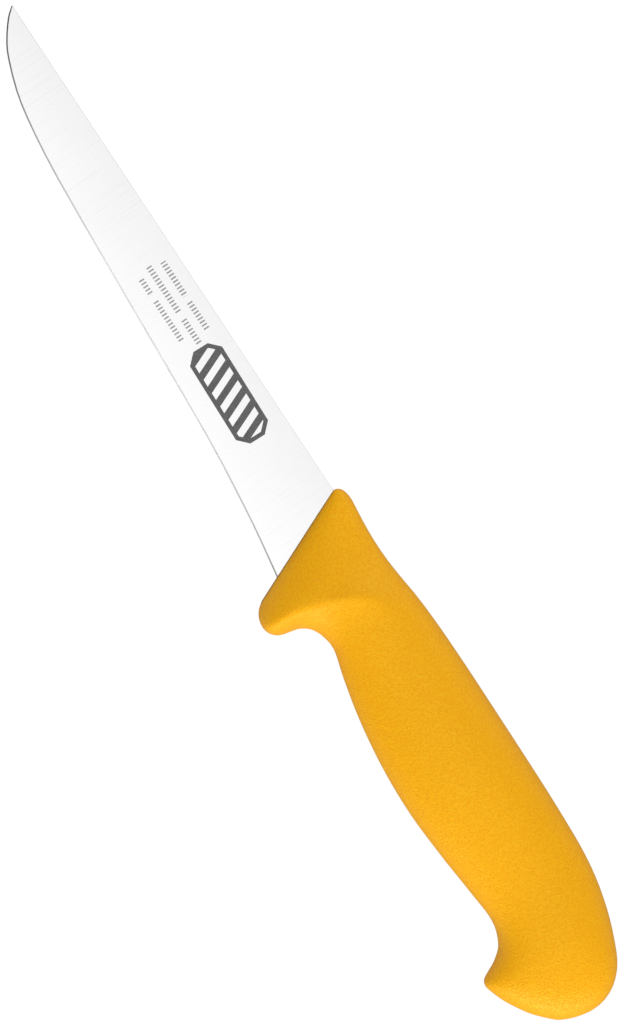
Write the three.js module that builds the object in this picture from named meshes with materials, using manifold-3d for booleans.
// A butcher's boning knife lying on its side, in millimetres.
// X runs from the tip of the blade to the butt of the handle, Y from the cutting edge to the back
// of the knife, Z across its thickness. The drawing's zero is where the back of the blade enters
// the handle, halfway through the thickness; the last lines move the finished knife to its origin.
//
// Three pieces, in the order that they are made: a stamped and ground blade with its tang, a hard
// core moulded round the tang and through its holes, and a grip moulded over the core.

import * as THREE from 'three';
import { mergeVertices } from 'three/addons/utils/BufferGeometryUtils.js';
import Module from 'manifold-3d';

const wasm = await Module();
wasm.setup();

// ---- Driving dimensions ----

// blade
const bladeLength = 144.5;        // tip to handle, along the back
const bladeDepth = 22;            // back to cutting edge where the blade meets the handle
const stockThickness = 2.2;       // the steel before it is ground, and the tang
const tipThickness = 1.1;         // at the back of the blade, beside the tip
const edgeThickness = 0.4;        // left above the sharpened bevel, where blade meets handle
const bevelWidth = 0.4;           // the sharpened strip along the cutting edge

// tang, the part of the blade inside the handle
const heelLength = 8;             // full-depth steel behind the front of the handle
const tangDrop = 5;               // from the back of the blade down to the tang
const tangDepth = 10;
const tangLength = 88;            // behind the shoulder
const tangCorner = 3;
const tangHoleDiameter = 5;
const tangHoleCount = 3;
const tangHoleMargin = 0.75;      // from each end of the wrapped tang to a hole, in hole pitches
const plungeInside = 1.5;         // the grind runs this far into the handle
const heelInside = 1;             // full-thickness steel starts this far into the handle

// grip
const gripLength = 143.4;
const gripDepth = 40;             // hook tip to the highest point of the back
const frontHalf = 3.6;            // half thickness at the narrow front of the guard
const waistHalf = 9.2;            // half thickness behind the guard, where the forefinger lies
const palmHalf = 11;
const neckHalf = 9.8;             // in front of the butt, where the little finger lies
const buttHalf = 10.8;
const guardRise = 1.9;            // how far the guard's ridge stands above the waist
const backRise = 0.2;             // the part of that rise that is left at the back edge
const guardBackSlope = 9;         // length of the hollow slope behind the ridge
const ridgeBlend = 0.9;           // rounding of the ridge
const lobeBlend = 2.2;            // and of its lower end, on the lobe
const frontRounding = 3;          // how far in the edges are rounded at the front
const bodyRounding = 8;           // and on the body
const roundingRun = 16;           // from the front, before the body's rounding is reached
const frontFullness = 2;          // 2 gives square shoulders to the rounding, 1 gives lean ones
const bodyFullness = 1.2;

// core
const coreInset = 5;              // from the grip's outline in to the core's
const gripWall = 4;               // grip over the core's flat sides
const sleeveWall = 2;             // core round the tang, where the core is at its leanest

const clearance = 0.3;            // between any two pieces

// how finely the curved surfaces are divided, and how exactly points are found and joined
const stepsPerRib = 3;
const stepsAcross = 20;
const bladeSteps = 30;
const holeSteps = 12;
const weldDistance = 1e-5;
const closeEnough = 1e-6;

// ---- Outlines, drawn by eye and stretched to the driving dimensions ----

// The grip is drawn as ribs. Each rib runs from the back edge to the belly edge, so the first two
// numbers trace the back and the butt, and the last two trace the guard, the belly and the hook.
const drawnRibs = [
  [0.1, -0.2, 13.3, -30.0],
  [0.5, 1.2, 14.7, -31.8],
  [1.8, 2.2, 16.5, -33.0],
  [4.2, 2.6, 18.7, -33.5],
  [7.6, 2.3, 20.8, -33.1],
  [11.6, 1.9, 22.4, -31.8],
  [16.0, 1.65, 23.2, -30.2],
  [20.5, 1.65, 23.7, -28.1],
  [24.5, 1.9, 24.4, -25.8],
  [28.5, 2.3, 26.2, -23.6],
  [33.0, 2.8, 29.2, -22.2],
  [38.0, 3.15, 33.5, -21.8],
  [45.0, 3.4, 41.0, -23.8],
  [55.0, 3.5, 52.0, -26.2],
  [66.0, 3.45, 65.0, -27.95],
  [78.0, 3.35, 78.0, -28.5],
  [90.0, 3.2, 91.0, -27.8],
  [100.0, 2.9, 102.0, -26.8],
  [109.0, 2.4, 111.0, -26.2],
  [117.0, 1.25, 116.7, -28.0],
  [125.0, -0.8, 119.6, -31.0],
  [132.0, -3.4, 121.2, -34.0],
  [137.2, -6.0, 122.3, -35.9],
  [140.8, -9.4, 124.0, -36.5],
  [142.8, -13.2, 126.6, -35.8],
  [143.4, -17.0, 129.6, -34.6],
  [143.0, -20.3, 132.5, -33.0],
  [142.1, -23.3, 135.2, -31.3],
  [140.8, -26.0, 137.5, -29.4],
  [139.3, -27.7, 139.3, -27.7],
];
const coreFirstRib = 10;
const coreLastRib = 20;

// The ridge of the guard, from the back edge down to the lobe that stops the finger.
const drawnRidge = [[34, 4], [31.5, -1], [26.4, -8], [22.6, -16], [21.0, -24], [20.4, -34]];

// Heights: the ridge comes up to its full rise between the first two, and softens towards the lobe
// between the other two.
const riseFrom = -1;
const riseTo = -11;
const softenFrom = -14;
const softenTo = -28;

// Where the grip's half thickness is given, as distances along it.
const waistAt = 34;
const palmAt = 78;
const neckAt = 108;
const buttAt = 128;

// The cutting edge, from the tip back to where it disappears into the handle.
const drawnEdge = [
  [-144.5, -0.15], [-143.6, -1.35], [-142, -3.05], [-138, -6.1], [-134, -8.2], [-126, -11.0],
  [-118, -12.65], [-106, -14.15], [-90, -15.3], [-74, -16.25], [-50, -17.6], [-26, -19.05],
  [-10, -20.7], [0, -22], [22, -25.5],
];

const drawnRibXs = drawnRibs.flatMap(([ax, , bx]) => [ax, bx]);
const drawnRibYs = drawnRibs.flatMap(([, ay, , by]) => [ay, by]);
const alongGrip = gripLength / (Math.max(...drawnRibXs) - Math.min(...drawnRibXs));
const acrossGrip = gripDepth / (Math.max(...drawnRibYs) - Math.min(...drawnRibYs));
const alongBlade = bladeLength / -drawnEdge[0][0];
const acrossBlade = bladeDepth / -drawnEdge.find(([x]) => x === 0)[1];

const curveThrough = (points) => new THREE.CatmullRomCurve3(
  points.map(([x, y]) => new THREE.Vector3(x, y, 0)), false, 'catmullrom', 0.5);

const backEdge = curveThrough(drawnRibs.map(([x, y]) => [x * alongGrip, y * acrossGrip]));
const bellyEdge = curveThrough(drawnRibs.map(([, , x, y]) => [x * alongGrip, y * acrossGrip]));
const lastRib = drawnRibs.length - 1;
const ribEnds = (rib) => [backEdge.getPoint(rib / lastRib), bellyEdge.getPoint(rib / lastRib)];

// ---- Solids from meshes, and back ----

function toManifold(geometry) {
  const bare = geometry.clone();
  bare.deleteAttribute('normal');
  bare.deleteAttribute('uv');
  const merged = mergeVertices(bare.index ? bare.toNonIndexed() : bare, weldDistance);
  const index = merged.index.array;
  const triVerts = [];
  for (let i = 0; i < index.length; i += 3) {
    const [a, b, c] = [index[i], index[i + 1], index[i + 2]];
    if (a !== b && b !== c && c !== a) triVerts.push(a, b, c);
  }
  return new wasm.Manifold(new wasm.Mesh({
    numProp: 3,
    vertProperties: new Float32Array(merged.attributes.position.array),
    triVerts: new Uint32Array(triVerts),
  }));
}

function toGeometry(solid) {
  const mesh = solid.getMesh();
  const geometry = new THREE.BufferGeometry();
  geometry.setAttribute('position', new THREE.BufferAttribute(mesh.vertProperties, 3));
  geometry.setIndex(new THREE.BufferAttribute(mesh.triVerts, 1));
  return geometry;
}

// A closed solid, alike above and below its middle plane. grid[i][j] holds { x, y, z }: the upper
// surface, whose mirror image is the lower one. Walls close it wherever its rim stands off the plane.
function mirroredSolid(grid) {
  const corners = [];
  const quad = (a, b, c, d) => corners.push(a, b, c, a, c, d);
  const mirror = ({ x, y, z }) => ({ x, y, z: -z });
  const rows = grid.length - 1;
  const columns = grid[0].length - 1;
  for (let i = 0; i < rows; i += 1) {
    for (let j = 0; j < columns; j += 1) {
      const [a, b, c, d] = [grid[i][j], grid[i][j + 1], grid[i + 1][j + 1], grid[i + 1][j]];
      quad(a, b, c, d);
      quad(mirror(d), mirror(c), mirror(b), mirror(a));
    }
  }
  const rim = [
    ...[...grid[0]].reverse(),
    ...grid.map((row) => row[0]).slice(1),
    ...grid[rows].slice(1),
    ...grid.map((row) => row[columns]).reverse().slice(1),
  ];
  for (let k = 0; k < rim.length - 1; k += 1) {
    quad(rim[k], rim[k + 1], mirror(rim[k + 1]), mirror(rim[k]));
  }
  const geometry = new THREE.BufferGeometry();
  const position = new Float32Array(corners.flatMap(({ x, y, z }) => [x, y, z]));
  geometry.setAttribute('position', new THREE.BufferAttribute(position, 3));
  return toManifold(geometry);
}

// A flat outline made as thick as given, half above the middle plane and half below.
function slab(outline, thickness, holes = []) {
  const shape = new THREE.Shape(outline.map(([x, y]) => new THREE.Vector2(x, y)));
  for (const { x, y, radius } of holes) {
    const hole = new THREE.Path();
    hole.absarc(x, y, radius, 0, 2 * Math.PI, true);
    shape.holes.push(hole);
  }
  const geometry = new THREE.ExtrudeGeometry(shape, {
    depth: thickness, bevelEnabled: false, curveSegments: holeSteps,
  });
  geometry.translate(0, 0, -thickness / 2);
  return toManifold(geometry);
}

// ---- Grip: its half thickness at any place inside the outline ----

// The straight front of the guard leans back from the nose to the lobe.
const [frontTop, frontBottom] = ribEnds(0);
const frontLean = (frontBottom.x - frontTop.x) / (frontTop.y - frontBottom.y);
const frontAt = (y) => frontTop.x + frontLean * (frontTop.y - y);

const ridge = drawnRidge.map(([x, y]) => [x * alongGrip, y * acrossGrip]);
const between = (value, from, to) => Math.min(1, Math.max(0, (value - from) / (to - from)));
const eased = (t) => t * t * (3 - 2 * t);
const mix = (a, b, t) => a + (b - a) * t;

function ridgeAt(y) {
  const k = Math.max(1, ridge.findIndex(([, ridgeY]) => ridgeY <= y));
  const [x0, y0] = ridge[k - 1];
  const [x1, y1] = ridge[k];
  return mix(x0, x1, between(y, y0, y1));
}

const thicknessStations = [
  [waistAt, waistHalf], [palmAt, palmHalf], [neckAt, neckHalf], [buttAt, buttHalf],
].map(([x, half]) => [x * alongGrip, half]);

function bodyHalf(x) {
  const k = thicknessStations.findIndex(([stationX]) => stationX > x);
  if (k === 0) return waistHalf;
  if (k < 0) return buttHalf;
  const [x0, half0] = thicknessStations[k - 1];
  const [x1, half1] = thicknessStations[k];
  return mix(half0, half1, eased(between(x, x0, x1)));
}

function softMinimum(a, b, blend) {
  const t = between(b - a, -blend, blend);
  return mix(b, a, t) - blend * t * (1 - t);
}

// Ahead of the ridge the guard is a wedge; behind it a hollow slope falls to the body.
function guardHalf(x, y) {
  const ridgeX = ridgeAt(y);
  const drawnY = y / acrossGrip;
  const rise = guardRise * mix(backRise, 1, eased(between(drawnY, riseFrom, riseTo)));
  const blend = mix(ridgeBlend, lobeBlend, eased(between(drawnY, softenFrom, softenTo)));
  const behind = 1 - (x - ridgeX) / guardBackSlope;
  const slope = behind > 1 ? 2 * behind - 1 : Math.max(0, behind) ** 2;
  const back = bodyHalf(x) + rise * slope;
  const crest = bodyHalf(ridgeX) + rise;
  const wedge = mix(frontHalf, crest, (x - frontAt(y)) / (ridgeX - frontAt(y)));
  return softMinimum(wedge, back, blend);
}

// Distance from the outline, softened: 2 over the integral, in every direction, of 1 over the
// distance seen. It equals the plain distance near the rim and has no crease farther in.
const outline = [];
for (let k = 0; k < lastRib * stepsPerRib; k += 1) outline.push(ribEnds(k / stepsPerRib)[0]);
for (let k = lastRib * stepsPerRib; k >= 0; k -= 1) outline.push(ribEnds(k / stepsPerRib)[1]);

function softDistance(x, y) {
  let sum = 0;
  for (let k = 0; k < outline.length; k += 1) {
    const a = outline[k];
    const b = outline[(k + 1) % outline.length];
    const [ax, ay, bx, by] = [a.x - x, a.y - y, b.x - x, b.y - y];
    const [ra, rb] = [Math.hypot(ax, ay), Math.hypot(bx, by)];
    if (ra < closeEnough || rb < closeEnough) return 0;
    const angle = Math.atan2(ax * by - ay * bx, ax * bx + ay * by);
    sum += Math.tan(angle / 2) * (1 / ra + 1 / rb);
  }
  return 2 / Math.abs(sum);
}

function gripHalf(x, y) {
  const fromFront = (x - frontAt(y)) / Math.hypot(1, frontLean);
  const t = eased(between(fromFront, 0, roundingRun));
  const depth = Math.min(1, softDistance(x, y) / mix(frontRounding, bodyRounding, t));
  const fullness = mix(frontFullness, bodyFullness, t);
  return guardHalf(x, y) * Math.sqrt(1 - (1 - depth) ** fullness);
}

// ---- Handle ----

const tangTop = -tangDrop;
const tangBottom = tangTop - tangDepth;
const tangEnd = frontTop.x + heelLength + tangLength;
const coreFrontX = ribEnds(coreFirstRib)[0].x;

function gripBody() {
  const grid = [];
  for (let i = 0; i <= lastRib * stepsPerRib; i += 1) {
    const [top, bottom] = ribEnds(i / stepsPerRib);
    const row = [];
    for (let j = 0; j <= stepsAcross; j += 1) {
      const point = top.clone().lerp(bottom, (1 - Math.cos(Math.PI * j / stepsAcross)) / 2);
      const onRim = i === 0 || i === lastRib * stepsPerRib || j === 0 || j === stepsAcross;
      row.push({ x: point.x, y: point.y, z: onRim ? 0 : gripHalf(point.x, point.y) });
    }
    grid.push(row);
  }
  return mirroredSolid(grid);
}

// grow is 0 for the core itself and the clearance for the space that the grip leaves for it.
function coreBody(grow) {
  const firstStep = coreFirstRib * stepsPerRib;
  const lastStep = coreLastRib * stepsPerRib;
  const lastColumn = stepsAcross / 2;
  const outward = (k, last) => (k === last ? grow : 0) - (k === 0 ? grow : 0);
  const grid = [];
  for (let i = firstStep; i <= lastStep; i += 1) {
    const [top, bottom] = ribEnds(i / stepsPerRib);
    const down = bottom.clone().sub(top).normalize();
    const row = [];
    for (let j = 0; j <= lastColumn; j += 1) {
      const along = mix(coreInset, top.distanceTo(bottom) - coreInset, j / lastColumn);
      const point = top.clone().addScaledVector(down, along);
      const half = gripHalf(point.x, point.y) - gripWall + grow;
      point.addScaledVector(down, outward(j, lastColumn));
      row.push({ x: point.x + outward(i - firstStep, lastStep - firstStep), y: point.y, z: half });
    }
    grid.push(row);
  }
  return mirroredSolid(grid).add(sleeve(grow));
}

// The part of the core that wraps the tang, so that a wider or longer tang stays covered.
function sleeve(grow) {
  const wrap = clearance + sleeveWall + grow;
  const frontX = coreFrontX - grow;
  const backX = tangEnd + wrap;
  const [topY, bottomY] = [tangTop + wrap, tangBottom - wrap];
  const box = [[frontX, topY], [frontX, bottomY], [backX, bottomY], [backX, topY]];
  return slab(box, stockThickness + 2 * wrap);
}

// ---- Blade ----

const cuttingEdge = curveThrough(drawnEdge.map(([x, y]) => [x * alongBlade, y * acrossBlade]));

// The grind ends on a line that leans like the front of the handle, just inside it.
function plungeOnEdge() {
  let [low, high] = [0, 1];
  while (high - low > closeEnough) {
    const middle = (low + high) / 2;
    const { x, y } = cuttingEdge.getPoint(middle);
    if (x < frontAt(y) + plungeInside) low = middle;
    else high = middle;
  }
  return low;
}

const edgeEnd = plungeOnEdge();
const heelBottom = cuttingEdge.getPoint(edgeEnd);

// Each side of the ground blade is one true plane, thinner to the tip and to the edge.
function groundHalf(x, y) {
  const alongSlope = (stockThickness - tipThickness) / 2 / bladeLength;
  const acrossSlope = (stockThickness - edgeThickness) / 2 / bladeDepth;
  return stockThickness / 2 + alongSlope * x + acrossSlope * y;
}

// grow is 0 for the blade itself and the clearance for the slot that the grip leaves for it.
function groundBlade(grow) {
  const backEnd = frontAt(0) + plungeInside;
  const grid = [];
  for (let i = 0; i <= bladeSteps; i += 1) {
    const edge = cuttingEdge.getPoint(edgeEnd * i / bladeSteps);
    const run = cuttingEdge.getTangent(edgeEnd * i / bladeSteps);
    const bevel = Math.min(bevelWidth, -edge.y / 2);
    const push = i === bladeSteps ? grow : 0;
    const backX = mix(-bladeLength, backEnd, between(edge.x, -bladeLength, heelBottom.x)) + push;
    const shoulderX = edge.x - run.y * bevel + push;
    const shoulderY = edge.y + run.x * bevel;
    const tip = { x: edge.x - grow, y: edge.y, z: 0 };
    grid.push(i === 0 ? [tip, tip, tip] : [
      { x: backX, y: grow, z: groundHalf(backX, 0) + grow },
      { x: shoulderX, y: shoulderY, z: groundHalf(shoulderX, shoulderY) + grow },
      { x: edge.x + push, y: edge.y - 2 * grow, z: 0 },
    ]);
  }
  return mirroredSolid(grid);
}

// The full-thickness steel inside the handle: the heel of the blade, a shoulder that leans like
// the front of the handle, and the tang.
function heelAndTang(grow, holes) {
  const heelFront = (y) => frontAt(y) + heelInside - grow;
  const shoulder = (y) => frontAt(y) + heelLength + grow;
  const [top, bottom, end] = [tangTop + grow, tangBottom - grow, tangEnd + grow];
  const heelY = heelBottom.y - grow;
  return slab([
    [heelFront(grow), grow],
    [heelFront(heelY), heelY],
    [shoulder(heelY), heelY],
    [shoulder(bottom), bottom],
    [end - tangCorner, bottom],
    [end, bottom + tangCorner],
    [end, top - tangCorner],
    [end - tangCorner, top],
    [shoulder(top), top],
    [shoulder(grow), grow],
  ], stockThickness + 2 * grow, holes);
}

// The core's plastic runs through these, so the handle can't be pulled off.
function tangHoles(radius) {
  const pitch = (tangEnd - coreFrontX) / (tangHoleCount - 1 + 2 * tangHoleMargin);
  const y = (tangTop + tangBottom) / 2;
  const hole = (_, k) => ({ x: coreFrontX + pitch * (k + tangHoleMargin), y, radius });
  return Array.from({ length: tangHoleCount }, hole);
}

// ---- The knife ----

const blade = groundBlade(0).add(heelAndTang(0, tangHoles(tangHoleDiameter / 2)));
const core = coreBody(0).subtract(heelAndTang(clearance, tangHoles(tangHoleDiameter / 2 - clearance)));
const grip = gripBody()
  .subtract(coreBody(clearance))
  .subtract(groundBlade(clearance))
  .subtract(heelAndTang(clearance, []));

const steel = new THREE.MeshStandardMaterial({ color: 0xe9eaec, roughness: 0.3, metalness: 1 });
const hardPlastic = new THREE.MeshStandardMaterial({ color: 0xd9c48a, roughness: 0.5, metalness: 0 });
const grainedPlastic = new THREE.MeshStandardMaterial({ color: 0xefa911, roughness: 0.6, metalness: 0 });

function piece(name, solid, material) {
  const mesh = new THREE.Mesh(toGeometry(solid), material);
  mesh.name = name;
  return mesh;
}

const knife = new THREE.Group();
knife.add(
  piece('blade', blade, steel),
  piece('handle_core', core, hardPlastic),
  piece('handle_grip', grip, grainedPlastic),
);

// The origin is under the middle of the knife's box, on the surface that the knife lies on.
const box = new THREE.Box3().setFromObject(knife);
knife.position.set(-(box.min.x + box.max.x) / 2, -(box.min.y + box.max.y) / 2, -box.min.z);

const part = new THREE.Group();
part.add(knife);

export default part;
